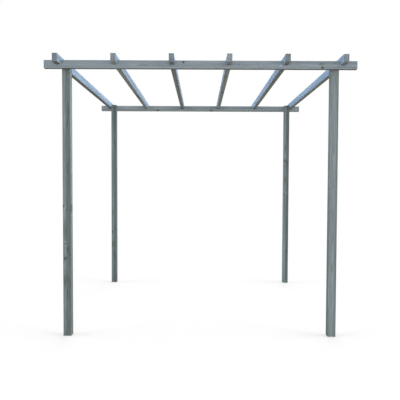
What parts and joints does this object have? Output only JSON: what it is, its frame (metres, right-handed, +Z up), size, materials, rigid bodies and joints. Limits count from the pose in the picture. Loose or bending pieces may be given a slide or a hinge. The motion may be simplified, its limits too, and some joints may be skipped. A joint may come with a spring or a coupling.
{
  "type": "wooden pergola",
  "caption": "Free-standing flat timber pergola: square corner posts, a beam along the front and the rear, and rafters notched over both beams for shade and climbing plants.",
  "frame": {"origin": "on the ground, in the middle of the four posts", "axes": "+X to the right along the beams, +Y to the rear along the rafters, +Z up; the front is at -Y"},
  "size_m": [2.688, 2.688, 2.4345],
  "materials": {
    "post_wood": "planed softwood, pressure treated and weathered grey",
    "beam_wood": "planed softwood, pressure treated and weathered grey",
    "rafter_wood": "planed softwood, pressure treated and weathered grey",
    "screw_zinc": "dull zinc-plated steel"
  },
  "bodies": {
    "root": {"front_left_post": "post_wood", "front_right_post": "post_wood", "rear_left_post": "post_wood", "rear_right_post": "post_wood", "front_beam": "beam_wood", "rear_beam": "beam_wood", "rafter_1": "rafter_wood", "rafter_2": "rafter_wood", "rafter_3": "rafter_wood", "rafter_4": "rafter_wood", "rafter_5": "rafter_wood", "rafter_6": "rafter_wood"}
  },
  "joints": []
}
